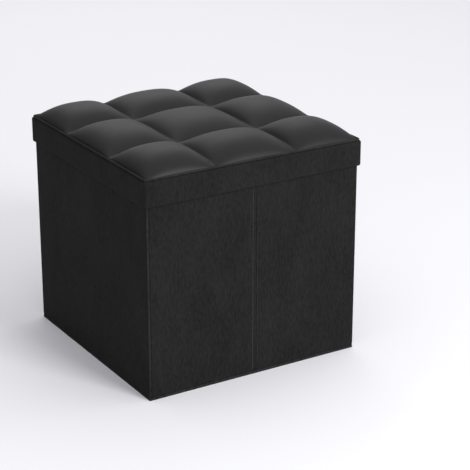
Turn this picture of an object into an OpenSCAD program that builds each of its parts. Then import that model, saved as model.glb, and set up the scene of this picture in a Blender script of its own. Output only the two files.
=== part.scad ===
// Folding storage ottoman: a cube of fabric-hinged boards with a lift-off quilted lid.
// Millimetres, +Z up. The origin is the middle of the footprint, on the floor.
// The creased front wall faces -Y and the solid left wall faces -X.

/* [Overall] */
// Side of the square lid, measured over its skirt
lid_side = 380; // [360:2:420]
// Height of the closed ottoman, up to the crowns of the pillows
total_h = 380; // [340:2:420]
// How far the skirt of the lid stands out past the walls
overhang = 4.5; // [4.5:0.5:8]

/* [Lid] */
// Height of the skirt, from its lower edge to the welt
skirt_h = 40; // [36:1:60]
// Height of the pillow crowns above the quilting crossings
crown_h = 28; // [20:1:34]
// Distance of the quilting seams from the middle of the lid
seam_at = 70; // [58:1:78]
// Diameter of the welt cord in its cover
welt_d = 3.6; // [2.4:0.2:4.4]
// Thickness of the lid board
lid_board_t = 10; // [6:0.5:12]
// Thickness of the skirt fabric
skirt_cover_t = 0.9; // [0.6:0.1:1]
// Thickness of the rails that stiffen the skirt
rail_t = 1.9; // [1.4:0.1:1.9]
// Thickness of the fabric turned up behind the rails
turn_t = 0.5; // [0.3:0.1:0.5]
// Thickness of the quilted cover with its wadding
quilt_t = 1.6; // [1.2:0.1:2]
// Radius of the skirt's upright corners
skirt_r = 5; // [4:0.5:8]
// Staples that hold the turned-up fabric, on each side
staples_per_side = 6; // [3:1:10]

/* [Walls] */
// Thickness of the outer cover of a wall
cover_t = 1.2; // [0.8:0.1:1.5]
// Thickness of a wall board
board_t = 3; // [2:0.1:3.2]
// Thickness of the lining inside the box
lining_t = 0.8; // [0.4:0.1:1]
// Width of the soft crease between two half panels
crease_w = 6; // [4:0.5:10]

/* [Base] */
// Thickness of the boards in the folding base
base_board_t = 2.4; // [1.8:0.1:2.4]
// Thickness of the cloth glued round a base board
wrap_t = 0.3; // [0.2:0.05:0.3]
// Thickness of the cloth under the ottoman
floor_cloth_t = 0.5; // [0.4:0.1:0.6]
// Length of the ribbon that pulls the base up
ribbon_l = 60; // [40:5:90]
// Width of the ribbon
ribbon_w = 15; // [10:1:25]

/* [Hidden] */

$fn = 48;
// Clearance between faces of pieces that move past each other
gap = 0.3;
// Play under the folding leaves, and at their crease
leaf_play = 0.1;
// Extra length of a cutting solid, so that it passes through
cut = 1;

fabric_color = "#3a3a3b";
satin_color = "#434345";
lining_color = "#1d1d1f";
board_color = "#b08a5c";
foam_color = "#e9e2c8";
steel_color = "#b9bcc0";

// Plan of the walls
lid_half = lid_side / 2;
body_half = lid_half - overhang;
wall_t = cover_t + board_t + lining_t;
inner_half = body_half - wall_t;
// Length of a side wall's stiff panel, short of the soft corners
corner_leg = 8;
side_half = body_half - corner_leg;
strip_r = 1.6;

// Base leaves, from the floor up
leaf_t = base_board_t + 2 * wrap_t;
leaf_z = floor_cloth_t + leaf_play;
ribbon_t = 0.6;
leaf_half = inner_half - gap;
wall_z0 = leaf_z + leaf_t + ribbon_t + gap;
rim_w = 1.2;
rim_z1 = wall_z0 - 0.2;

// The folded base stands between the left wall and the folded front wall
corner_room = 2 * leaf_t + ribbon_t + 1;
hinge_x = inner_half - corner_room;

// Heights of the lid
seam_z = total_h - crown_h;
skirt_z1 = seam_z - welt_d;
skirt_z0 = skirt_z1 - skirt_h;
lid_board_z1 = skirt_z1 - skirt_cover_t;
lid_board_z0 = lid_board_z1 - lid_board_t;
lid_lining_z0 = lid_board_z0 - lining_t;
wall_z1 = lid_lining_z0 - 0.4;
wall_h = wall_z1 - wall_z0;

// Plan of the lid
rail_out = lid_half - skirt_cover_t;
rail_in = rail_out - rail_t;
turn_in = rail_in - turn_t;
rail_l = 2 * (lid_half - skirt_r);
turn_h = 25;
welt_half = lid_half - 3.4;
quilt_half = welt_half - 2;
foam_half = quilt_half - quilt_t;
quilt_r = 4;
// Top of the sewn-down cover where two seams cross
valley_z = seam_z + 1;
staple_w = 10;
staple_t = 0.4;
staple_h = 0.6;

// ---------------------------------------------------------------- shapes

module block(x0, x1, y0, y1, z0, z1) {
    translate([x0, y0, z0])
        cube([x1 - x0, y1 - y0, z1 - z0]);
}

// A flat square slab with rounded upright corners
module slab(half, r, z0, z1) {
    translate([0, 0, z0])
        linear_extrude(z1 - z0) {
            square([2 * half, 2 * (half - r)], center = true);
            square([2 * (half - r), 2 * half], center = true);
            for (x = [-1, 1], y = [-1, 1])
                translate([x * (half - r), y * (half - r)])
                    circle(r);
        }
}

module square_ring(outer, r, inner, z0, z1) {
    difference() {
        slab(outer, r, z0, z1);
        slab(inner, max(r - (outer - inner), 0.5), z0 - cut, z1 + cut);
    }
}

// ---------------------------------------------------------------- wall panels
// A panel is drawn standing along X from x0 to x1, with its outer face at -body_half in Y.

module panel_cover(x0, x1) {
    face = -body_half;
    color(fabric_color)
        difference() {
            block(x0, x1, face, face + wall_t, wall_z0, wall_z1);
            block(x0 + cover_t, x1 - cover_t, face + cover_t, face + wall_t + cut,
                  wall_z0 + cover_t, wall_z1 - cover_t);
        }
}

module panel_board(x0, x1) {
    face = -body_half + cover_t;
    color(board_color)
        block(x0 + cover_t, x1 - cover_t, face, face + board_t, wall_z0 + cover_t, wall_z1 - cover_t);
}

module panel_lining(x0, x1) {
    face = -body_half + cover_t + board_t;
    color(lining_color)
        block(x0 + cover_t, x1 - cover_t, face, face + lining_t, wall_z0 + cover_t, wall_z1 - cover_t);
}

// Puts a panel drawn at the front in the place of another wall
module at_left() {
    rotate([0, 0, -90])
        children();
}

module at_right() {
    rotate([0, 0, 90])
        children();
}

module at_back() {
    mirror([0, 1, 0])
        children();
}

module left_cover() {
    at_left()
        panel_cover(-side_half, side_half);
}

module left_board() {
    at_left()
        panel_board(-side_half, side_half);
}

module left_lining() {
    at_left()
        panel_lining(-side_half, side_half);
}

module right_cover() {
    at_right()
        panel_cover(-side_half, side_half);
}

module right_board() {
    at_right()
        panel_board(-side_half, side_half);
}

module right_lining() {
    at_right()
        panel_lining(-side_half, side_half);
}

module front_left_cover() {
    panel_cover(-hinge_x, -crease_w / 2);
}

module front_left_board() {
    panel_board(-hinge_x, -crease_w / 2);
}

module front_left_lining() {
    panel_lining(-hinge_x, -crease_w / 2);
}

module front_right_cover() {
    panel_cover(crease_w / 2, hinge_x);
}

module front_right_board() {
    panel_board(crease_w / 2, hinge_x);
}

module front_right_lining() {
    panel_lining(crease_w / 2, hinge_x);
}

module back_left_cover() {
    at_back()
        front_left_cover();
}

module back_left_board() {
    at_back()
        front_left_board();
}

module back_left_lining() {
    at_back()
        front_left_lining();
}

module back_right_cover() {
    at_back()
        front_right_cover();
}

module back_right_board() {
    at_back()
        front_right_board();
}

module back_right_lining() {
    at_back()
        front_right_lining();
}

// The soft strip at the bottom of the crease channel, sewn to the left half panel
module front_crease() {
    depth = 1;
    color(fabric_color)
        block(-crease_w / 2, crease_w / 2 - gap, -body_half + depth, -body_half + depth + cover_t,
              wall_z0, wall_z1);
}

module back_crease() {
    at_back()
        front_crease();
}

// The bare cloth that turns a corner between two stiff panels, with its sewn ridge
module corner_front_left() {
    front_leg = corner_room + wall_t - 0.2;
    color(fabric_color)
        translate([-body_half, -body_half, wall_z0])
            linear_extrude(wall_h) {
                translate([strip_r, strip_r])
                    circle(strip_r);
                translate([strip_r, 0])
                    square([front_leg - strip_r, cover_t]);
                translate([0, strip_r])
                    square([cover_t, corner_leg - strip_r]);
            }
}

module corner_back_left() {
    at_back()
        corner_front_left();
}

module corner_front_right() {
    mirror([1, 0, 0])
        corner_front_left();
}

module corner_back_right() {
    at_back()
        corner_front_right();
}

// ---------------------------------------------------------------- bottom and folding base

// Cloth under the box
module bottom_cloth() {
    color(lining_color)
        slab(body_half, strip_r, 0, floor_cloth_t);
}

// Tape that binds the edge of the bottom cloth to the lower edges of the walls, one length a side
module bottom_binding() {
    short_half = body_half - rim_w;
    color(lining_color)
        for (side = [-1, 1]) {
            middle = side * (body_half - rim_w / 2);
            block(-body_half + strip_r, body_half - strip_r, middle - rim_w / 2, middle + rim_w / 2,
                  floor_cloth_t, rim_z1);
            block(middle - rim_w / 2, middle + rim_w / 2, -short_half, short_half,
                  floor_cloth_t, rim_z1);
        }
}

module leaf_wrap(x0, x1) {
    color(lining_color)
        difference() {
            block(x0, x1, -leaf_half, leaf_half, leaf_z, leaf_z + leaf_t);
            block(x0 + wrap_t, x1 - wrap_t, -leaf_half - cut, leaf_half + cut,
                  leaf_z + wrap_t, leaf_z + leaf_t - wrap_t);
        }
}

module leaf_board(x0, x1) {
    color(board_color)
        block(x0 + wrap_t, x1 - wrap_t, -leaf_half, leaf_half, leaf_z + wrap_t, leaf_z + leaf_t - wrap_t);
}

module base_left_wrap() {
    leaf_wrap(-leaf_half, -leaf_play);
}

module base_left_board() {
    leaf_board(-leaf_half, -leaf_play);
}

module base_right_wrap() {
    leaf_wrap(leaf_play, leaf_half);
}

module base_right_board() {
    leaf_board(leaf_play, leaf_half);
}

// Flat ribbon sewn on beside the crease of the base
module pull_ribbon() {
    from_crease = 6;
    color(satin_color)
        block(from_crease, from_crease + ribbon_l, -ribbon_w / 2, ribbon_w / 2,
              leaf_z + leaf_t, leaf_z + leaf_t + ribbon_t);
}

// ---------------------------------------------------------------- lid

module lid_board() {
    color(board_color)
        slab(rail_in, 2, lid_board_z0, lid_board_z1);
}

module lid_rail_front() {
    color(board_color)
        block(-rail_l / 2, rail_l / 2, -rail_out, -rail_in, skirt_z0 + skirt_cover_t, lid_board_z1);
}

module lid_rail_back() {
    at_back()
        lid_rail_front();
}

module lid_rail_left() {
    at_left()
        lid_rail_front();
}

module lid_rail_right() {
    at_right()
        lid_rail_front();
}

// Fabric round the rails: face, turned lower edge, turned-up inside and top allowance
module skirt_cover() {
    color(fabric_color) {
        square_ring(lid_half, skirt_r, rail_out, skirt_z0, skirt_z1);
        square_ring(rail_out, skirt_r - skirt_cover_t, turn_in, skirt_z0, skirt_z0 + skirt_cover_t);
        square_ring(rail_in, 2, turn_in, skirt_z0 + skirt_cover_t, skirt_z0 + turn_h);
        square_ring(rail_out, skirt_r - skirt_cover_t, turn_in, lid_board_z1, skirt_z1);
    }
}

// Cord in a bias strip, sewn into the seam between skirt and top
module welt() {
    bend = 4;
    straight = welt_half - bend;
    color(satin_color)
        translate([0, 0, skirt_z1 + welt_d / 2])
            for (turn = [0 : 90 : 270])
                rotate([0, 0, turn]) {
                    translate([welt_half, 0, 0])
                        rotate([90, 0, 0])
                            cylinder(h = 2 * straight, d = welt_d, center = true);
                    translate([straight, straight, 0])
                        rotate_extrude(angle = 90)
                            translate([bend, 0])
                                circle(d = welt_d);
                }
}

// Dome of one pillow over the cell from a to b, thinned by inset
module pillow(a, b, inset) {
    mid = (a + b) / 2;
    reach2 = pow(b[0] - mid[0], 2) + pow(b[1] - mid[1], 2);
    dome_r = (reach2 + crown_h * crown_h) / (2 * crown_h);
    intersection() {
        translate([mid[0], mid[1], total_h - dome_r])
            sphere(dome_r - inset);
        block(a[0], b[0], a[1], b[1], skirt_z1 + cut, total_h);
    }
}

// The nine pillows, cut off at half from the middle
module pillows(half, inset) {
    edges = [-quilt_half, -seam_at, seam_at, quilt_half];
    intersection() {
        union()
            for (i = [0 : 2], j = [0 : 2])
                pillow([edges[i], edges[j]], [edges[i + 1], edges[j + 1]], inset);
        slab(half, quilt_r, 0, total_h);
    }
}

module foam_solid() {
    slab(foam_half, quilt_r, lid_board_z1, valley_z - quilt_t);
    pillows(foam_half, quilt_t);
}

module foam_pad() {
    color(foam_color)
        foam_solid();
}

module quilted_cover() {
    color(satin_color)
        difference() {
            union() {
                slab(quilt_half, quilt_r, lid_board_z1, valley_z);
                pillows(quilt_half, 0);
            }
            foam_solid();
        }
}

module lid_lining() {
    color(lining_color)
        slab(rail_in, 2, lid_lining_z0, lid_board_z0);
}

// Crowns of the staples along the fabric turned up behind the rails
module lid_staples() {
    pitch = rail_l / staples_per_side;
    height = skirt_z0 + turn_h - 4;
    color(steel_color)
        for (turn = [0 : 90 : 270], i = [0 : staples_per_side - 1])
            rotate([0, 0, turn])
                translate([(i + 0.5) * pitch - rail_l / 2 - staple_w / 2, -turn_in, height])
                    cube([staple_w, staple_t, staple_h]);
}

// ---------------------------------------------------------------- nodes

left_board();
left_cover();
left_lining();
corner_front_left();
corner_back_left();
bottom_cloth();
bottom_binding();
right_board();
right_cover();
right_lining();
corner_front_right();
corner_back_right();
front_left_board();
front_left_cover();
front_left_lining();
front_crease();
front_right_board();
front_right_cover();
front_right_lining();
back_left_board();
back_left_cover();
back_left_lining();
back_crease();
back_right_board();
back_right_cover();
back_right_lining();
base_left_board();
base_left_wrap();
base_right_board();
base_right_wrap();
pull_ribbon();
lid_board();
lid_rail_front();
lid_rail_back();
lid_rail_left();
lid_rail_right();
skirt_cover();
welt();
foam_pad();
quilted_cover();
lid_lining();
lid_staples();
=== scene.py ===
# %% [markdown]
# # A folding storage ottoman
#
# The ottoman is a cube of thin boards sewn into cloth pockets, with a loose lid on top. The lid has a
# quilted cushion of three by three pillows, a welt round its edge and a stiff skirt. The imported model
# gives the frame: every size below is read from it, and the looks are built around it.

# %% Load the frame
import math
import bmesh
import bpy
import numpy as np
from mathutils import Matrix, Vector, noise


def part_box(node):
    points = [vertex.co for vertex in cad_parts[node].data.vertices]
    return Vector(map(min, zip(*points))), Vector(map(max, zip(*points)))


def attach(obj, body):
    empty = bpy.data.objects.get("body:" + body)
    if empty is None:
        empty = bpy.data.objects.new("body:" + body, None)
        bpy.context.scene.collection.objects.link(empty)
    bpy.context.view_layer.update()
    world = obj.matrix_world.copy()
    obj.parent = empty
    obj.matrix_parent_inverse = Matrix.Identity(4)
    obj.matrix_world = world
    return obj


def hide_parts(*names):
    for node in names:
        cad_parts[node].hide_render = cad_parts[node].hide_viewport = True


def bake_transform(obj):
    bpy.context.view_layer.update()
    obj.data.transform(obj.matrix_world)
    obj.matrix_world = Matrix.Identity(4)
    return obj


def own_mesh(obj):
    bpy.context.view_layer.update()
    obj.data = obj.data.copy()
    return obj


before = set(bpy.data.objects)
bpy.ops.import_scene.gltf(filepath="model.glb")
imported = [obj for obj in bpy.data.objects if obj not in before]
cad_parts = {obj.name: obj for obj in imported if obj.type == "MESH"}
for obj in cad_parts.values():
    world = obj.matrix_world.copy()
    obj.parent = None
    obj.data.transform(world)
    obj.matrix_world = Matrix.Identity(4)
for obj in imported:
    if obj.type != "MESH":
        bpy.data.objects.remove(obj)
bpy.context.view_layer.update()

# %% [markdown]
# Sizes are named once.

# %% Driving sizes
MM = 0.001

wall_low, wall_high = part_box("left_cover")
WALL_HALF = -wall_low.x
WALL_T = wall_high.x - wall_low.x
WALL_Z0 = wall_low.z
WALL_Z1 = wall_high.z

skirt_low, skirt_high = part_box("skirt_cover")
LID_HALF = skirt_high.x
SKIRT_Z0 = skirt_low.z
SKIRT_Z1 = skirt_high.z

welt_low, welt_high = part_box("welt")
WELT_R = (welt_high.z - welt_low.z) / 2
WELT_Z = (welt_high.z + welt_low.z) / 2
WELT_HALF = welt_high.x - WELT_R

RAIL_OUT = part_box("lid_rail_right")[1].x
RAIL_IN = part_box("lid_rail_right")[0].x
BOARD_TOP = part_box("lid_board")[1].z
CROWN_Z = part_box("quilted_cover")[1].z - 4 * MM
HINGE_X = -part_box("front_left_cover")[0].x
LINING_END = -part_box("front_left_lining")[0].x
SIDE_LINING_END = -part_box("left_lining")[0].y
CREASE_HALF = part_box("front_right_cover")[0].x
BINDING_Z1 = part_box("bottom_binding")[1].z
print("walls stand from", round(WALL_Z0 / MM, 1), "to", round(WALL_Z1 / MM, 1), "mm")

# %% [markdown]
# ## Camera
# The view looks down on the near left corner with a long lens, so that the upright edges hardly
# converge. The camera is set by the direction it looks back along, and its distance.

# %% Camera
YAW = math.radians(-31.5)
PITCH = math.radians(21.0)
LENS_MM = 127.0
CAMERA_AT = Vector((-1.243, -2.155, 1.124))

camera_data = bpy.data.cameras.new("camera")
camera_data.lens = LENS_MM
camera_data.sensor_width = 36.0
camera = bpy.data.objects.new("camera", camera_data)
back = Vector((math.sin(YAW) * math.cos(PITCH), -math.cos(YAW) * math.cos(PITCH), math.sin(PITCH)))
camera.location = CAMERA_AT
camera.rotation_mode = "QUATERNION"
camera.rotation_quaternion = (-back).to_track_quat("-Z", "Y")
bpy.context.scene.collection.objects.link(camera)
bpy.context.scene.camera = camera
print("camera is", round(CAMERA_AT.length, 2), "m from the foot of the ottoman")

# %% [markdown]
# ## Helpers
# Colours are written as the hex values that a paint or fabric card gives, and turned to linear light
# by one function. One small function adds a shader node with its settings and links.

# %% Colour and node helpers
def linear(code):
    """Linear RGBA from an sRGB hex code."""
    channels = [int(code[i:i + 2], 16) / 255 for i in (1, 3, 5)]
    return [c / 12.92 if c <= 0.04045 else ((c + 0.055) / 1.055) ** 2.4 for c in channels] + [1.0]


def add(tree, kind, inputs=None, **settings):
    """A new node of that kind. inputs gives a socket a value, or the output that feeds it."""
    node = tree.nodes.new(kind)
    for name, value in settings.items():
        setattr(node, name, value)
    for socket, value in (inputs or {}).items():
        if isinstance(value, bpy.types.NodeSocket):
            tree.links.new(value, node.inputs[socket])
        else:
            node.inputs[socket].default_value = value
    return node


def new_material(name):
    """A material with a Principled shader: its node tree, its shader and the material itself."""
    material = bpy.data.materials.new(name)
    material.use_nodes = True
    tree = material.node_tree
    return tree, tree.nodes["Principled BSDF"], material


def stretched(tree, per_metre):
    """Object coordinates times a scale for each axis, so that one unit of noise is one thread or fleck."""
    place = add(tree, "ShaderNodeTexCoord")
    scaled = add(tree, "ShaderNodeVectorMath", {0: place.outputs["Object"], 1: per_metre},
                 operation="MULTIPLY")
    return scaled.outputs[0]


def two_tone(tree, shader, factor, dark, light, low=0.35, high=0.65):
    """Feeds the base colour with a blend from dark to light as factor goes from low to high."""
    ramp = add(tree, "ShaderNodeValToRGB", {0: factor})
    ramp.color_ramp.elements[0].position = low
    ramp.color_ramp.elements[0].color = linear(dark)
    ramp.color_ramp.elements[1].position = high
    ramp.color_ramp.elements[1].color = linear(light)
    tree.links.new(ramp.outputs[0], shader.inputs["Base Color"])
    return ramp.outputs[0]


def bumped(tree, shader, height, depth_mm, strength=1.0):
    """Feeds the normal with a bump whose full height is depth_mm."""
    bump = add(tree, "ShaderNodeBump", {"Height": height, "Distance": depth_mm * MM, "Strength": strength})
    tree.links.new(bump.outputs[0], shader.inputs["Normal"])


# %% [markdown]
# ## Woven polyester, linen look
# The walls and the skirt are a plain-weave polyester, dyed in the piece. Its yarns are slubby: thick and
# thin along their length, which gives faint upright streaks 5 to 15 mm long. The yarns are 0.5 mm apart,
# too fine to show at arm's length, so the weave is drawn at 1.2 mm. The eye gets a dry, matte charcoal
# with next to no shine, so both the gloss and the sheen are set very low.

# %% Woven polyester
SLUB_WIDTH = 1.5 * MM
SLUB_LENGTH = 8 * MM
THREAD = 1.2 * MM
WAVE_SCALE = 1 / (2 * math.pi) * 3.14   # a wave texture repeats once for each thread at about a half


def woven_polyester(name, dark, light):
    tree, shader, material = new_material(name)
    slubs = add(tree, "ShaderNodeTexNoise", {
        "Vector": stretched(tree, (1 / SLUB_WIDTH, 1 / SLUB_WIDTH, 1 / SLUB_LENGTH)),
        "Scale": 1.0, "Detail": 3.0, "Roughness": 0.6})
    clouds = add(tree, "ShaderNodeTexNoise", {
        "Vector": stretched(tree, (1 / 0.05, 1 / 0.05, 1 / 0.09)), "Scale": 1.0, "Detail": 2.0})
    mixed = add(tree, "ShaderNodeMath", {0: clouds.outputs[0], 1: 0.35, 2: slubs.outputs[0]},
                operation="MULTIPLY_ADD")
    centred = add(tree, "ShaderNodeMath", {0: mixed.outputs[0], 1: 0.175}, operation="SUBTRACT")
    two_tone(tree, shader, centred.outputs[0], dark, light, 0.3, 0.7)
    across = add(tree, "ShaderNodeTexWave", {
        "Vector": stretched(tree, (1 / THREAD, 1 / THREAD, 0.02 / THREAD)),
        "Scale": WAVE_SCALE, "Distortion": 1.2, "Detail": 1.0}, bands_direction="DIAGONAL")
    along = add(tree, "ShaderNodeTexWave", {
        "Vector": stretched(tree, (0.02 / THREAD, 0.02 / THREAD, 1 / THREAD)),
        "Scale": WAVE_SCALE, "Distortion": 1.2, "Detail": 1.0}, bands_direction="Z")
    weave = add(tree, "ShaderNodeMath", {0: across.outputs["Fac"], 1: along.outputs["Fac"]},
                operation="MULTIPLY")
    relief = add(tree, "ShaderNodeMath", {0: slubs.outputs[0], 1: 0.8, 2: weave.outputs[0]},
                 operation="MULTIPLY_ADD")
    bumped(tree, shader, relief.outputs[0], 0.10)
    shader.inputs["Roughness"].default_value = 0.85
    shader.inputs["Specular IOR Level"].default_value = 0.05
    shader.inputs["Sheen Weight"].default_value = 0.01
    shader.inputs["Sheen Roughness"].default_value = 0.5
    return material


woven = woven_polyester("woven_polyester_charcoal", "#1a1a1a", "#282828")
# A lighter copy of the same woven cloth, for the welt, the corner ridges and the bound edge: painted
# highlight where light catches those rounded ridges.
woven_painted_highlight = woven_polyester("woven_polyester_painted_highlight", "#212121", "#343434")
print("made the woven polyester")

# %% [markdown]
# ## Satin polyester
# The quilted top is a calendered, satin-faced polyester: pressed smooth between rollers after dyeing.
# The eye gets a soft, wide highlight that lights up the far side of each pillow where it turns away.

# %% Satin polyester
def satin_polyester():
    tree, shader, material = new_material("satin_polyester_charcoal")
    fibres = add(tree, "ShaderNodeTexNoise", {
        "Vector": stretched(tree, (1 / (1.2 * MM), 1 / (7 * MM), 1 / (4 * MM))),
        "Scale": 1.0, "Detail": 3.0, "Roughness": 0.55})
    two_tone(tree, shader, fibres.outputs[0], "#090909", "#111111", 0.3, 0.7)
    bumped(tree, shader, fibres.outputs[0], 0.06)
    shader.inputs["Roughness"].default_value = 0.46
    shader.inputs["Specular IOR Level"].default_value = 0.3
    shader.inputs["Sheen Weight"].default_value = 0.06
    shader.inputs["Sheen Roughness"].default_value = 0.35
    return material


satin = satin_polyester()

# %% [markdown]
# ## Lining, boards, wire, thread and ribbon
# The lining is spunbonded polypropylene: fibres welded by a hot roller with a diamond of small points.
# The boards are raw fibreboard. Staples are galvanised wire. The thread is spun polyester, a shade
# lighter than the cloth, and the ribbon is grosgrain, with ribs across its width.

# %% Lining, boards, wire, thread and ribbon
POINT_PITCH = 2.2 * MM


def spunbond():
    tree, shader, material = new_material("spunbond_polypropylene_black")
    points = add(tree, "ShaderNodeTexVoronoi", {
        "Vector": stretched(tree, (1 / POINT_PITCH,) * 3), "Scale": 1.0, "Randomness": 0.25},
        feature="SMOOTH_F1")
    fibres = add(tree, "ShaderNodeTexNoise", {
        "Vector": stretched(tree, (1 / (1.5 * MM),) * 3), "Scale": 1.0, "Detail": 4.0})
    both = add(tree, "ShaderNodeMath", {0: fibres.outputs[0], 1: 0.6, 2: points.outputs["Distance"]},
               operation="MULTIPLY_ADD")
    two_tone(tree, shader, both.outputs[0], "#161617", "#262628", 0.4, 1.0)
    bumped(tree, shader, both.outputs[0], 0.15)
    shader.inputs["Roughness"].default_value = 0.7
    shader.inputs["Sheen Weight"].default_value = 0.05
    return material


def fibreboard():
    tree, shader, material = new_material("raw_fibreboard")
    flecks = add(tree, "ShaderNodeTexNoise", {
        "Vector": stretched(tree, (1 / (1.2 * MM),) * 3), "Scale": 1.0, "Detail": 5.0, "Roughness": 0.7})
    two_tone(tree, shader, flecks.outputs[0], "#8f6b43", "#b79062", 0.3, 0.7)
    bumped(tree, shader, flecks.outputs[0], 0.08)
    shader.inputs["Roughness"].default_value = 0.8
    return material


def galvanised_wire():
    tree, shader, material = new_material("galvanised_wire")
    spangle = add(tree, "ShaderNodeTexNoise", {
        "Vector": stretched(tree, (1 / (0.8 * MM),) * 3), "Scale": 1.0, "Detail": 2.0})
    two_tone(tree, shader, spangle.outputs[0], "#8f9296", "#b4b7bb", 0.3, 0.7)
    bumped(tree, shader, spangle.outputs[0], 0.02)
    shader.inputs["Metallic"].default_value = 1.0
    shader.inputs["Roughness"].default_value = 0.38
    return material


def spun_thread(name, dark, light):
    tree, shader, material = new_material(name)
    twist = add(tree, "ShaderNodeTexWave", {
        "Vector": stretched(tree, (1 / (0.5 * MM),) * 3), "Scale": 0.5, "Distortion": 0.5},
        bands_direction="DIAGONAL")
    two_tone(tree, shader, twist.outputs["Fac"], dark, light, 0.2, 0.8)
    bumped(tree, shader, twist.outputs["Fac"], 0.08)
    shader.inputs["Roughness"].default_value = 0.6
    shader.inputs["Sheen Weight"].default_value = 0.2
    return material


def grosgrain():
    tree, shader, material = new_material("grosgrain_ribbon_black")
    ribs = add(tree, "ShaderNodeTexWave", {
        "Vector": stretched(tree, (1 / (1.0 * MM), 0.0, 0.0)), "Scale": 0.5, "Distortion": 0.1},
        bands_direction="X")
    two_tone(tree, shader, ribs.outputs["Fac"], "#1b1b1c", "#2e2e30", 0.1, 0.9)
    bumped(tree, shader, ribs.outputs["Fac"], 0.2)
    shader.inputs["Roughness"].default_value = 0.65
    return material


lining = spunbond()
board = fibreboard()
wire = galvanised_wire()
quilt_thread = spun_thread("spun_polyester_thread_dark", "#1d1d1e", "#3a3a3c")
crease_thread = spun_thread("spun_polyester_thread_grey", "#414143", "#6c6c6f")
ribbon_weave = grosgrain()

for node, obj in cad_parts.items():
    if node.endswith("board") or node.startswith("lid_rail"):
        chosen = board
    elif node == "lid_staples":
        chosen = wire
    else:
        chosen = lining
    obj.data.materials.clear()
    obj.data.materials.append(chosen)
print("materials on", len(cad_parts), "CAD nodes")

# %% [markdown]
# ## Mesh helpers
# Sewn goods are mostly strips with a constant section, so two helpers make nearly all of them: one turns
# a grid of points into a mesh, and one carries a closed section round the square of the lid.

# %% Mesh helpers
def mesh_object(name, points, faces, *materials, shade_smooth=True):
    """A mesh object, with its normals turned outwards."""
    mesh = bpy.data.meshes.new(name)
    mesh.from_pydata([tuple(p) for p in points], [], faces)
    for material in materials:
        mesh.materials.append(material)
    tidy = bmesh.new()
    tidy.from_mesh(mesh)
    bmesh.ops.recalc_face_normals(tidy, faces=tidy.faces)
    tidy.to_mesh(mesh)
    tidy.free()
    if shade_smooth:
        mesh.polygons.foreach_set("use_smooth", [True] * len(mesh.polygons))
    obj = bpy.data.objects.new(name, mesh)
    bpy.context.scene.collection.objects.link(obj)
    return obj


def grid_faces(rows, columns, wrap_rows=False, wrap_columns=False):
    """Quads over rows x columns points that are numbered row by row."""
    faces = []
    for r in range(rows if wrap_rows else rows - 1):
        for c in range(columns if wrap_columns else columns - 1):
            r2, c2 = (r + 1) % rows, (c + 1) % columns
            faces.append((r * columns + c, r * columns + c2, r2 * columns + c2, r2 * columns + c))
    return faces


def loft(name, rows, *materials, closed_path=False):
    """A solid through rows, which are closed sections of equal length. An open path gets capped ends."""
    rows = np.array(rows)
    count, size = rows.shape[:2]
    faces = grid_faces(count, size, wrap_rows=closed_path, wrap_columns=True)
    if not closed_path:
        faces.append(tuple(range(size)))
        faces.append(tuple((count - 1) * size + i for i in range(size)))
    return mesh_object(name, rows.reshape(-1, 3), faces, *materials)


def arc(centre, radius, start, stop, steps):
    """Points of a circular arc, in degrees, both ends included."""
    turns = np.radians(np.linspace(start, stop, steps + 1))
    return [(centre[0] + radius * math.cos(t), centre[1] + radius * math.sin(t)) for t in turns]


def round_the_lid(name, section, corner_at, *materials, side_steps=60, corner_steps=8, ripple=0.0):
    """Carries a closed section of (distance from the middle, height) points round the square lid.
    corner_at is the distance of the corner arcs' centres from the middle."""
    rows = []
    for side in range(4):
        turn = math.radians(90 * side)
        out = np.array((math.cos(turn), math.sin(turn)))
        forward = np.array((-math.sin(turn), math.cos(turn)))
        for t in np.linspace(-1, 1, side_steps, endpoint=False):
            row = []
            for reach, height in section:
                wave = ripple * noise.noise(Vector((t * 9, side * 5.3, height * 60)))
                plan = out * (reach + wave) + forward * t * corner_at
                row.append((plan[0], plan[1], height))
            rows.append(row)
        for k in range(corner_steps):
            turn_on = turn + math.radians(90 * k / corner_steps)
            centre = (out + forward) * corner_at
            direction = np.array((math.cos(turn_on), math.sin(turn_on)))
            row = []
            for reach, height in section:
                plan = centre + direction * (reach - corner_at)
                row.append((plan[0], plan[1], height))
            rows.append(row)
    return loft(name, rows, *materials, closed_path=True)


def on_wall(wall, along, depth, height):
    """A point of a wall: along it, depth in from its outer face, and height above the floor."""
    across = WALL_HALF - depth
    if wall == "front":
        return (along, -across, height)
    if wall == "back":
        return (along, across, height)
    if wall == "left":
        return (-across, along, height)
    return (across, along, height)


print("helpers ready")

# %% [markdown]
# ## Quilted top
# A real quilted top is a cover and a foam pad sewn through along straight seams, so each cell swells into
# a pillow. The pillow shape here is worked out, not simulated: a profile that is nearly flat on top and
# steep beside the seams, in both directions. Cloth simulation with the seams pinned only settles it, by
# about 0.1 mm. Slack cloth under high pressure moved 7 mm, but it came out rippled, with soft seams.

# %% Quilted top: starting shape
SEAM_AT = 70 * MM
EDGE = WELT_HALF - WELT_R * 0.9
EDGE_Z = WELT_Z + 0.4 * MM
VALLEY_RISE = 3.5 * MM
CROWN = CROWN_Z - EDGE_Z - VALLEY_RISE
CELL_STEPS = 36
PLAN_R = 4.0 * MM


def pillow_profile(share):
    """Height share at a share of the half width: nearly flat on top, and steep beside the seam."""
    return (1 - min(abs(share), 1.0) ** 2.5) ** 0.70


def cell_lines():
    """The grid lines over one side: the place of each, and its share of the half width of its cell."""
    edges = [-EDGE, -SEAM_AT, SEAM_AT, EDGE]
    lines = []
    for cell in range(3):
        low, high = edges[cell], edges[cell + 1]
        last = 1 if cell == 2 else 0
        for i in range(CELL_STEPS + last):
            share = 2 * i / CELL_STEPS - 1
            lines.append((low + (high - low) * (share + 1) / 2, share))
    return lines


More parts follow.
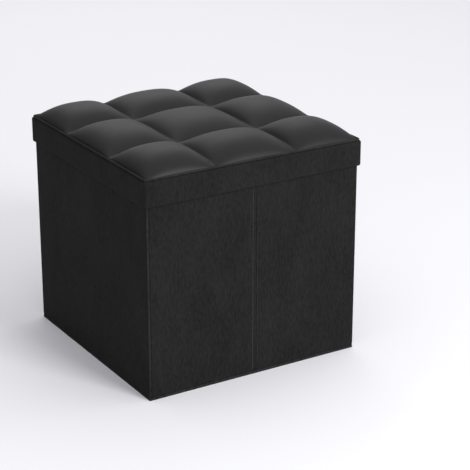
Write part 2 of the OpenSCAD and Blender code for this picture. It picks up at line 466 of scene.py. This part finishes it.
def rounded_plan(x, y):
    """Pushes a point of the square in to a rounded corner."""
    inner = EDGE - PLAN_R
    dx, dy = abs(x) - inner, abs(y) - inner
    if dx <= 0 or dy <= 0:
        return x, y
    scale = max(dx, dy) / math.hypot(dx, dy)
    return math.copysign(inner + dx * scale, x), math.copysign(inner + dy * scale, y)


def quilted_start():
    lines = cell_lines()
    count = len(lines)
    points, pinned = [], []
    for y, v in lines:
        for x, u in lines:
            px, py = rounded_plan(x, y)
            rise = CROWN * pillow_profile(u) * pillow_profile(v)
            inside = 1 - (max(abs(x), abs(y)) / EDGE) ** 8
            points.append((px, py, EDGE_Z + VALLEY_RISE * inside + rise * 0.93))
            pinned.append(abs(u) > 0.999 or abs(v) > 0.999)
    faces = grid_faces(count, count)
    base = len(points)
    for x, y, _ in points[:base]:
        points.append((x, y, BOARD_TOP))
        pinned.append(True)
    faces += [tuple(base + i for i in face) for face in grid_faces(count, count)]
    last = count - 1
    rim = list(range(last)) + [r * count + last for r in range(last)]
    rim += [last * count + c for c in range(last, 0, -1)] + [r * count for r in range(last, 0, -1)]
    for k, i in enumerate(rim):
        j = rim[(k + 1) % len(rim)]
        faces.append((j, i, base + i, base + j))
    obj = mesh_object("quilted_top", points, faces, satin)
    group = obj.vertex_groups.new(name="sewn_down")
    group.add([i for i, p in enumerate(pinned) if p], 1.0, "REPLACE")
    return obj, count


quilted_top, line_count = quilted_start()
print("quilted top starts with", len(quilted_top.data.vertices), "points")

# %% Quilted top: fill it
MOVE_CAP = 3 * MM


def positions(obj):
    flat = np.zeros(len(obj.data.vertices) * 3)
    obj.data.vertices.foreach_get("co", flat)
    return flat.reshape(-1, 3)


def fill_with_air(obj):
    """Runs the cloth with its seams pinned, then writes the capped result into the mesh."""
    rest = positions(obj)
    cloth = obj.modifiers.new("fill", "CLOTH")
    settings = cloth.settings
    settings.quality = 6
    settings.mass = 0.25
    settings.tension_stiffness = 12
    settings.compression_stiffness = 12
    settings.shear_stiffness = 4
    settings.bending_stiffness = 0.4
    settings.vertex_group_mass = "sewn_down"
    settings.use_pressure = True
    settings.uniform_pressure_force = 4
    settings.effector_weights.gravity = 0
    cloth.collision_settings.use_collision = False
    cloth.point_cache.frame_start = 1
    cloth.point_cache.frame_end = 20
    scene = bpy.context.scene
    for step in range(1, 21):
        scene.frame_set(step)
    evaluated = obj.evaluated_get(bpy.context.evaluated_depsgraph_get())
    flat = np.zeros(len(evaluated.data.vertices) * 3)
    evaluated.data.vertices.foreach_get("co", flat)
    move = flat.reshape(-1, 3) - rest
    length = np.linalg.norm(move, axis=1, keepdims=True)
    move *= np.minimum(1, MOVE_CAP / np.maximum(length, 1e-9))
    obj.modifiers.remove(cloth)
    scene.frame_set(1)
    obj.data.vertices.foreach_set("co", (rest + move).ravel())
    obj.data.update()
    return float(length.max())


moved = fill_with_air(quilted_top)
print("the air moved the cloth by up to", round(moved / MM, 1), "mm before the cap")

# %% Quilted top: finish
top_points = positions(quilted_top)
surface = top_points[:line_count * line_count]
scale = (CROWN_Z - EDGE_Z) / (surface[:, 2].max() - EDGE_Z)
surface[:, 2] = EDGE_Z + (surface[:, 2] - EDGE_Z) * scale
quilted_top.data.vertices.foreach_set("co", top_points.ravel())
smooth = quilted_top.modifiers.new("smooth", "SUBSURF")
smooth.levels = 1
smooth.render_levels = 1
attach(quilted_top, "lid")
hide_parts("quilted_cover", "foam_pad")
print("pillow crowns at", round(surface[:, 2].max() / MM, 1), "mm")

# %% [markdown]
# ## Welt
# The welt is a cord in a bias strip, sewn into the seam between the top and the skirt. It is a round
# section carried round the lid, with a slow ripple where the strip gathers.

# %% Welt
# The welt's cloth is the lighter copy of the woven polyester: painted highlight along its ridge.
welt = round_the_lid("welt_piping", arc((WELT_HALF, WELT_Z), WELT_R, 0, 360 - 360 / 16, 15),
                     WELT_HALF - 4 * MM, woven_painted_highlight, side_steps=120, corner_steps=10, ripple=0.15 * MM)
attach(welt, "lid")
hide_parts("welt")

# %% [markdown]
# ## Skirt
# The skirt is one band of cloth folded round four thin rails: up its face, under the lower edge and up
# again inside, where staples hold it. Its edges are soft, because cloth won't fold sharply over a rail.

# %% Skirt
SKIRT_CORNER = 5 * MM
CLOTH_T = LID_HALF - RAIL_OUT
TURN_T = 0.5 * MM
TURN_TOP = SKIRT_Z0 + 25 * MM


def skirt_section():
    soft_low, soft_high = 2.2 * MM, 2.6 * MM
    inner = RAIL_IN - TURN_T
    face = np.linspace(SKIRT_Z0 + soft_low, SKIRT_Z1 - soft_high, 12)
    section = arc((LID_HALF - soft_low, SKIRT_Z0 + soft_low), soft_low, -90, 0, 5)
    section += [(LID_HALF, z) for z in face[1:-1]]
    section += arc((LID_HALF - soft_high, SKIRT_Z1 - soft_high), soft_high, 0, 90, 6)
    section += [(inner, SKIRT_Z1), (inner, BOARD_TOP), (RAIL_OUT, BOARD_TOP)]
    section += [(RAIL_OUT, SKIRT_Z0 + CLOTH_T), (RAIL_IN, SKIRT_Z0 + CLOTH_T), (RAIL_IN, TURN_TOP)]
    section += [(inner, TURN_TOP), (inner, SKIRT_Z0 + 0.5 * MM), (inner + 0.5 * MM, SKIRT_Z0)]
    return section


skirt = round_the_lid("skirt_band", skirt_section(), LID_HALF - SKIRT_CORNER, woven,
                      side_steps=90, corner_steps=10, ripple=0.25 * MM)
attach(skirt, "lid")
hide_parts("skirt_cover")
print("skirt is", round((SKIRT_Z1 - SKIRT_Z0) / MM, 1), "mm deep")

# %% [markdown]
# ## Wall covers
# Each wall cover is a C in section: up the outer face, over the top of the board and down inside as a
# hem, and turned under at the bottom. Beside a corner ridge or a crease the face dips into a groove,
# where it is sewn down.

# %% Wall covers
HEM = 14 * MM
HEM_PROUD = 0.4 * MM
COVER_T = 1.2 * MM
RIDGE_R = 1.75 * MM
RIDGE_REACH = 3.3 * MM
GROOVE = 0.9 * MM
GROOVE_REACH = 0.8 * MM
SHORT_SPAN = 40 * MM   # a cover shorter than this has no room for fine points at both ends


def cover_section():
    """The closed C section, as (depth, height, how much the face's grooves and waves move it)."""
    deep = WALL_T + HEM_PROUD
    soft = 1.1 * MM
    face = np.linspace(WALL_Z0 + soft, WALL_Z1 - soft, 42)
    section = [(soft - soft * math.sin(a), WALL_Z0 + soft - soft * math.cos(a), 1.0)
               for a in np.radians((0, 22.5, 45, 67.5))]
    section += [(0.0, z, 1.0) for z in face]
    section += [(soft - soft * math.cos(a), WALL_Z1 - soft + soft * math.sin(a), 1.0)
                for a in np.radians((22.5, 45, 67.5, 90))]
    section += [(deep - soft, WALL_Z1, 0.0), (deep - 0.4 * soft, WALL_Z1 - 0.2 * soft, 0.0),
                (deep, WALL_Z1 - soft, 0.0), (deep, WALL_Z1 - HEM / 2, 0.0), (deep, WALL_Z1 - HEM, 0.0)]
    section += [(WALL_T - 0.1 * MM, WALL_Z1 - HEM, 0.0), (WALL_T - 0.1 * MM, WALL_Z1 - COVER_T, 0.0)]
    section += [(COVER_T, WALL_Z1 - COVER_T, 0.0), (COVER_T, WALL_Z0 + COVER_T, 0.0)]
    section += [(WALL_T, WALL_Z0 + COVER_T, 0.0), (WALL_T, WALL_Z0, 0.0)]
    return section


def wall_cover(name, wall, start, stop, start_mitre, stop_mitre, start_dip, stop_dip):
    """A cover along a wall. A mitred end meets its neighbour on the diagonal of the corner."""
    span = stop - start
    fine = [f * MM for f in (0, 0.5, 1.0, 1.6, 2.4, 3.6, 5.0, 6.5, 7.5, 8.5, 9.3, 9.9, 10.7, 12.0)]
    stations = fine + list(np.linspace(15 * MM, span - 15 * MM, int(span / (7 * MM))))
    stations += [span - f for f in fine[::-1]]
    if span < SHORT_SPAN:
        stations = list(np.linspace(0, span, 12))
    rows = []
    for s in stations:
        share = s / span
        dip_here = start_dip * math.exp(-(s / GROOVE_REACH) ** 2)
        dip_here += stop_dip * math.exp(-((span - s) / GROOVE_REACH) ** 2)
        row = []
        for depth, height, moves in cover_section():
            low = start + start_mitre * max(0.0, depth - RIDGE_REACH)
            high = stop - stop_mitre * max(0.0, depth - RIDGE_REACH)
            along = low + (high - low) * share
            wave = 0.22 * MM * noise.noise(Vector((along * 14, height * 9, 3.1 * len(wall))))
            row.append(on_wall(wall, along, depth + moves * (dip_here + wave + 0.12 * MM), height))
        rows.append(row)
    return loft(name, rows, woven)


RIDGE_END = WALL_HALF - RIDGE_REACH
FACE_END = CREASE_HALF - 0.8 * MM
CREASE_DIP = 0.6 * MM

left_cloth = wall_cover("left_wall_cloth", "left", -RIDGE_END, RIDGE_END, 1, 1, GROOVE, GROOVE)
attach(left_cloth, "left_wall")
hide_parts("left_cover")

right_cloth = wall_cover("right_wall_cloth", "right", -RIDGE_END, RIDGE_END, 1, 1, GROOVE, GROOVE)
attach(right_cloth, "right_wall")
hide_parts("right_cover")

front_left_cloth = wall_cover("front_left_cloth", "front", -RIDGE_END, -FACE_END, 1, 0, GROOVE, CREASE_DIP)
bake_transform(front_left_cloth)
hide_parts("front_left_cover")

front_right_cloth = wall_cover("front_right_cloth", "front", FACE_END, RIDGE_END, 0, 1, CREASE_DIP, GROOVE)
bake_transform(front_right_cloth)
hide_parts("front_right_cover")

back_left_cloth = wall_cover("back_left_cloth", "back", -RIDGE_END, -FACE_END, 1, 0, GROOVE, CREASE_DIP)
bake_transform(back_left_cloth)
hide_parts("back_left_cover")

# The ring of walls is opened here, so the cover is cut at the hinge and its end stays with the right wall
back_right_cloth = wall_cover("back_right_cloth", "back", FACE_END, HINGE_X, 0, 0.6, CREASE_DIP, 0)
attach(back_right_cloth, "back_right")
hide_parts("back_right_cover")

back_right_end = wall_cover("back_right_cloth_end", "back", HINGE_X, RIDGE_END, 0, 1, 0, GROOVE)
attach(back_right_end, "right_wall")

print("wall covers made; the front one is", len(front_left_cloth.data.vertices), "points")

# %% [markdown]
# ## Corner ridges
# Two walls meet in a seam that is turned out and topstitched, which leaves a narrow upright ridge with a
# groove on each side. It is a round section, a little thick and thin like any hand-guided seam.

# %% Corner ridges
def corner_ridge(name, x_side, y_side):
    rows = []
    centre = WALL_HALF - RIDGE_R
    for height in np.linspace(WALL_Z0, WALL_Z1, 70):
        end = min(height - WALL_Z0, WALL_Z1 - height)
        radius = RIDGE_R * math.sqrt(min(1.0, 0.45 + 0.55 * end / (1.5 * MM)))
        radius += 0.08 * MM * noise.noise(Vector((x_side, y_side, height * 80)))
        ring = arc((x_side * centre, y_side * centre), radius, 0, 360 - 22.5, 15)
        rows.append([(x, y, height) for x, y in ring])
    # The ridge's cloth is the lighter copy of the woven polyester: painted highlight along the ridge.
    return loft(name, rows, woven_painted_highlight)


for name, x_side, y_side, body, node in (
        ("ridge_front_left", -1, -1, "left_wall", "corner_front_left"),
        ("ridge_back_left", -1, 1, "left_wall", "corner_back_left"),
        ("ridge_front_right", 1, -1, "right_wall", "corner_front_right"),
        ("ridge_back_right", 1, 1, "right_wall", "corner_back_right")):
    ridge = corner_ridge(name, x_side, y_side)
    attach(ridge, body)
    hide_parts(node)

# %% [markdown]
# ## Crease webs
# Between two half panels the outer cloth and the lining are sewn flat together. The web is a thin solid
# that is woven cloth outside and lining inside.

# %% Crease webs
def crease_web(name, wall):
    reach = FACE_END + 0.7 * MM
    outer = [(x, 0.75 * MM - 0.2 * MM * math.cos(math.pi * x / reach)) for x in np.linspace(-reach, reach, 9)]
    inner = [(reach + 0.8 * MM, 4.6 * MM), (1.6 * MM, 2.4 * MM), (0.0, 2.1 * MM), (-1.6 * MM, 2.4 * MM),
             (-reach - 0.8 * MM, 4.6 * MM)]
    rows = []
    for height in np.linspace(WALL_Z0 + 0.6 * MM, WALL_Z1 - 0.6 * MM, 60):
        rows.append([on_wall(wall, x, depth, height) for x, depth in outer + inner])
    web = loft(name, rows, woven, lining)
    outside = -1 if wall == "front" else 1
    for face in web.data.polygons:
        face.material_index = 0 if face.normal.y * outside > 0.5 else 1
    return web


for name, wall, left_body, right_body, node in (
        ("front_crease_web", "front", "front_left", "front_right", "front_crease"),
        ("back_crease_web", "back", "back_left", "back_right", "back_crease")):
    web = crease_web(name, wall)
    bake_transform(web)
    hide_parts(node)

# The end of each board at the crease is closed by a narrow strip of the cover, turned in over it
STRIP_END = CREASE_HALF + 0.5 * MM


def closing_strip(name, wall, side, body):
    edge = 0.3 * MM
    section = [(CREASE_HALF - 0.1 * MM, 1.0 * MM), (CREASE_HALF - 0.1 * MM + edge / 2, 1.0 * MM - edge),
               (STRIP_END, 1.0 * MM - edge), (STRIP_END, WALL_T), (CREASE_HALF - 0.1 * MM + edge, WALL_T),
               (CREASE_HALF - 0.1 * MM, WALL_T - edge)]
    rows = [[on_wall(wall, side * along, depth, z) for along, depth in section]
            for z in np.linspace(WALL_Z0 + 1 * MM, WALL_Z1 - 1 * MM, 20)]
    strip = loft(name, rows, woven)
    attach(strip, body)


for wall in ("front", "back"):
    for side, half in ((-1, "left"), (1, "right")):
        closing_strip(f"crease_strip_{wall}_{half}", wall, side, f"{wall}_{half}")

# %% [markdown]
# ## Corner linings
# Inside each corner the lining turns from one wall to the next as a narrow L of cloth.

# %% Corner linings
def corner_lining(name, x_side, y_side, reach):
    """The lining of one corner. reach is how far along the folding wall it goes back from the corner."""
    thick = -0.5 * MM
    outer_at = WALL_HALF - WALL_T + 0.1 * MM
    soft = 0.3 * MM
    path = [(outer_at, SIDE_LINING_END - 3 * MM), (outer_at, outer_at - soft)]
    path += arc((outer_at - soft, outer_at - soft), soft, 0, 90, 6)
    path += [(x, outer_at) for x in np.linspace(outer_at - soft - 0.5 * MM, reach, 8)]
    path = np.array(path)
    step = np.gradient(path, axis=0)
    normal = np.stack([-step[:, 1], step[:, 0]], axis=1)
    normal /= np.linalg.norm(normal, axis=1, keepdims=True)
    ring = np.concatenate([path, (path + normal * thick)[::-1]])
    rows = [[(x_side * x, y_side * y, z) for x, y in ring]
            for z in np.linspace(WALL_Z0 + 1 * MM, WALL_Z1 - 2 * MM, 50)]
    return loft(name, rows, lining)


corner_bodies = (("corner_lining_front_left", -1, -1, "left_wall", "front_left"),
                 ("corner_lining_back_left", -1, 1, "left_wall", "back_left"),
                 ("corner_lining_front_right", 1, -1, "right_wall", "front_right"))
for name, x_side, y_side, solid, moving in corner_bodies:
    piece = corner_lining(name, x_side, y_side, LINING_END - 3 * MM)
    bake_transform(piece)
last_corner = corner_lining("corner_lining_back_right", 1, 1, HINGE_X + 0.4 * MM)
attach(last_corner, "right_wall")

# %% [markdown]
# ## Linings, base leaves and ribbon
# These are flat cloth goods: soft-edged slabs with a slow wave in them. One helper makes such a slab in
# the place of a CAD node, with rounded edges all the way round.

# %% Soft slabs
def soft_slab(name, node, radius, material, body, wave=0.0, grow=0.0):
    """A slab with rounded edges in the box of a CAD node, which it replaces."""
    low, high = (np.array(corner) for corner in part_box(node))
    low, high = low - grow, high + grow
    size = high - low
    thin, length = int(np.argmin(size)), int(np.argmax(size))
    width = 3 - thin - length if thin != length else 1
    half_t, half_w, span = size[thin] / 2, size[width] / 2, size[length]
    radius = min(radius, 0.49 * size[thin])
    centre = (low + high) / 2
    ends = [radius * (1 - math.cos(math.radians(a))) for a in (0, 30, 60, 90)]
    stations = ends + list(np.linspace(radius + 2 * MM, span - radius - 2 * MM, 40))
    stations += [span - e for e in ends[::-1]]
    rows = []
    for s in stations:
        near = min(s, span - s)
        inset = radius - math.sqrt(max(radius ** 2 - max(radius - near, 0) ** 2, 0))
        w, t = half_w - inset, half_t - inset
        r = max(radius - inset, 0.02 * MM)
        ring = arc((w - r, t - r), r, 0, 90, 3)
        ring += [(x, t) for x in np.linspace(w - r, r - w, 26)[1:-1]]
        ring += arc((r - w, t - r), r, 90, 180, 3) + arc((r - w, r - t), r, 180, 270, 3)
        ring += [(x, -t) for x in np.linspace(r - w, w - r, 26)[1:-1]]
        ring += arc((w - r, r - t), r, 270, 360, 3)
        row = []
        for across, up in ring:
            point = centre.copy()
            point[length] = low[length] + s
            point[width] += across
            point[thin] += up
            ripple = wave * noise.noise(Vector(point * 16)) * min(1, near / (8 * MM))
            point[thin] += ripple
            row.append(tuple(point))
        rows.append(row)
    piece = loft(name, rows, material)
    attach(piece, body)
    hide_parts(node)
    return piece


for node, body in (("left_lining", "left_wall"), ("right_lining", "right_wall"),
                   ("front_left_lining", "front_left"), ("front_right_lining", "front_right"),
                   ("back_left_lining", "back_left"), ("back_right_lining", "back_right"),
                   ("lid_lining", "lid")):
    soft_slab(node + "_cloth", node, 0.35 * MM, lining, body, wave=0.12 * MM)

for node, body in (("base_left_wrap", "base_left"), ("base_right_wrap", "base_right")):
    soft_slab(node + "_cloth", node, 0.4 * MM, lining, body, wave=0.1 * MM)
soft_slab("pull_ribbon_tape", "pull_ribbon", 0.25 * MM, ribbon_weave, "base_right", wave=0.1 * MM)

# %% [markdown]
# ## Cloth under the box
# The bottom cloth is one stretched square with a bound edge, and both move with the left wall.

# %% Bottom cloth and binding
floor_cloth = soft_slab("bottom_sheet", "bottom_cloth", 0.2 * MM, lining, "left_wall")


def bound_edge():
    """A rounded strip round the rim, standing on the bottom cloth."""
    reach = WALL_HALF
    thick, bottom = 1.2 * MM, 0.1 * MM
    soft = 0.5 * MM
    section = arc((reach - soft, bottom + soft), soft, -90, 0, 4)
    section += arc((reach - soft, BINDING_Z1 - soft), soft, 0, 90, 4)
    section += arc((reach - thick + soft, BINDING_Z1 - soft), soft, 90, 180, 4)
    section += arc((reach - thick + soft, bottom + soft), soft, 180, 270, 4)
    # The bound edge uses the lighter copy too: painted highlight along its rounded top.
    return round_the_lid("bottom_binding_tape", section, reach - 2 * MM, woven_painted_highlight,
                         side_steps=60, corner_steps=4)


binding = bound_edge()
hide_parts("bottom_binding")
for piece in (floor_cloth, binding):
    if piece is binding:
        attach(piece, "left_wall")
    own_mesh(piece)

# %% [markdown]
# ## Stitching
# Lockstitch shows as short, slightly slanted dashes with a dip between them. All rows are made by one
# helper that lays a small spindle of thread on each stitch of a line.

# %% Stitching
def stitches(name, points, across, material, body, length=3.4 * MM, gap=1.0 * MM, radius=0.24 * MM):
    """Stitches along a polyline. across is the direction that points out of the cloth."""
    points = np.array(points)
    steps = np.linalg.norm(np.diff(points, axis=0), axis=1)
    travelled = np.concatenate([[0], np.cumsum(steps)])
    total, verts, faces = travelled[-1], [], []
    across = np.array(across, dtype=float)
    position = gap
    while position + length < total:
        a, b = (np.array([np.interp(d, travelled, points[:, k]) for k in range(3)])
                for d in (position, position + length))
        forward = (b - a) / np.linalg.norm(b - a)
        side = np.cross(forward, across)
        start = len(verts)
        for t, r in ((0, 0.25), (0.2, 0.85), (0.5, 1.0), (0.8, 0.85), (1, 0.25)):
            middle = a + (b - a) * t + side * (t - 0.5) * 0.25 * MM - across * (1 - r) * radius
            for k in range(6):
                turn = math.radians(60 * k)
                verts.append(middle + (side * math.cos(turn) + across * math.sin(turn)) * radius * r)
        faces += [tuple(start + i for i in face) for face in grid_faces(5, 6, wrap_columns=True)]
        faces += [tuple(start + i for i in range(6)), tuple(start + 24 + i for i in range(6))]
        position += length + gap
    piece = mesh_object(name, verts, faces, material)
    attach(piece, body)
    return piece


STITCH_AT = CREASE_HALF + 1.0 * MM
for wall, out in (("front", -1), ("back", 1)):
    for side, body in ((-1, wall + "_left"), (1, wall + "_right")):
        line = [on_wall(wall, side * STITCH_AT, 0.15 * MM, z) for z in (WALL_Z0 + 3 * MM, WALL_Z1 - 3 * MM)]
        thread = crease_thread if side < 0 else quilt_thread
        stitches(f"crease_stitches_{body}", line, (0, out, 0), thread, body)

HEM_STITCH_Z = WALL_Z1 - HEM + 3 * MM
HEM_STITCH_DEPTH = WALL_T + HEM_PROUD
SIDE_HEM_END = 172 * MM
HALF_HEM_ENDS = (6 * MM, 168 * MM)
for wall, body, inward in (("left", "left_wall", (1, 0, 0)), ("right", "right_wall", (-1, 0, 0))):
    ends = [on_wall(wall, y, HEM_STITCH_DEPTH, HEM_STITCH_Z) for y in (-SIDE_HEM_END, SIDE_HEM_END)]
    stitches(f"hem_stitches_{body}", ends, inward, quilt_thread, body)
for wall, inward in (("front", (0, 1, 0)), ("back", (0, -1, 0))):
    for side, body in ((-1, wall + "_left"), (1, wall + "_right")):
        ends = [on_wall(wall, side * x, HEM_STITCH_DEPTH, HEM_STITCH_Z) for x in HALF_HEM_ENDS]
        stitches(f"hem_stitches_{body}", ends, inward, quilt_thread, body)

ribbon_low, ribbon_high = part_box("pull_ribbon")
box_x0, box_x1 = ribbon_low.x + 1.5 * MM, ribbon_low.x + 13 * MM
box_y = ribbon_high.y - 1.5 * MM
square = [(box_x0, -box_y), (box_x1, -box_y), (box_x1, box_y), (box_x0, box_y), (box_x0, -box_y),
          (box_x1, box_y)]
stitches("ribbon_stitches", [(x, y, ribbon_high.z + 0.05 * MM) for x, y in square], (0, 0, 1), quilt_thread,
         "base_right", length=1.8 * MM, gap=0.4 * MM, radius=0.2 * MM)

grid_lines = [line[0] for line in cell_lines()]
surface_z = surface[:, 2].reshape(line_count, line_count)
for k, seam in enumerate((CELL_STEPS, 2 * CELL_STEPS)):
    inside = range(3, line_count - 3)
    stitches(f"quilting_{k}_across", [(grid_lines[c], grid_lines[seam], surface_z[seam, c]) for c in inside],
             (0, 0, 1), quilt_thread, "lid", length=3.0 * MM, gap=0.8 * MM, radius=0.25 * MM)
    stitches(f"quilting_{k}_along", [(grid_lines[seam], grid_lines[r], surface_z[r, seam]) for r in inside],
             (0, 0, 1), quilt_thread, "lid", length=3.0 * MM, gap=0.8 * MM, radius=0.25 * MM)
print("stitching done")

# %% [markdown]
# ## Floor, light and sky
# A plain white floor lies under a sky that is bright overhead and dim low down on the left, like a light
# tent that is open on one side. One panel before the front wall makes it brighter than the side wall, and
# a weak one behind and above the ottoman lights the far sides of the pillows.

# %% Floor, light and sky
def floor_material():
    tree, shader, material = new_material("matte_paper_white")
    shader.inputs["Base Color"].default_value = linear("#f3f3f5")
    shader.inputs["Roughness"].default_value = 0.9
    shader.inputs["Specular IOR Level"].default_value = 0.2
    return material


FLOOR_HALF = 12.0
floor = mesh_object("floor", [(-FLOOR_HALF, -FLOOR_HALF, 0), (FLOOR_HALF, -FLOOR_HALF, 0),
                              (FLOOR_HALF, FLOOR_HALF, 0), (-FLOOR_HALF, FLOOR_HALF, 0)],
                    [(0, 1, 2, 3)], floor_material(), shade_smooth=False)


def light_panel(name, at, aim, size, power):
    data = bpy.data.lights.new(name, "AREA")
    data.shape = "SQUARE"
    data.size = size
    data.energy = power
    lamp = bpy.data.objects.new(name, data)
    lamp.location = at
    lamp.rotation_mode = "QUATERNION"
    lamp.rotation_quaternion = (Vector(aim) - Vector(at)).to_track_quat("-Z", "Y")
    bpy.context.scene.collection.objects.link(lamp)
    return lamp


light_panel("front_panel", (0.6, -2.5, 1.75), (0, 0, 0.2), 0.9, 44)
light_panel("back_panel", (0.9, 2.3, 1.9), (0, 0, 0.35), 1.6, 6)

world = bpy.data.worlds.new("light_tent")
world.use_nodes = True
tent = world.node_tree
view = add(tent, "ShaderNodeTexCoord")
lean = add(tent, "ShaderNodeVectorMath", {0: view.outputs["Generated"], 1: (0.35, -0.25, 0.9)},
           operation="DOT_PRODUCT")
glow = add(tent, "ShaderNodeMapRange", {"Value": lean.outputs["Value"], "From Min": -0.35, "From Max": 0.95,
                                        "To Min": 0.05, "To Max": 1.14})
tent.links.new(glow.outputs[0], tent.nodes["Background"].inputs["Strength"])
tent.nodes["Background"].inputs["Color"].default_value = linear("#fafafe")
bpy.context.scene.world = world
bpy.context.scene.view_settings.view_transform = "Standard"
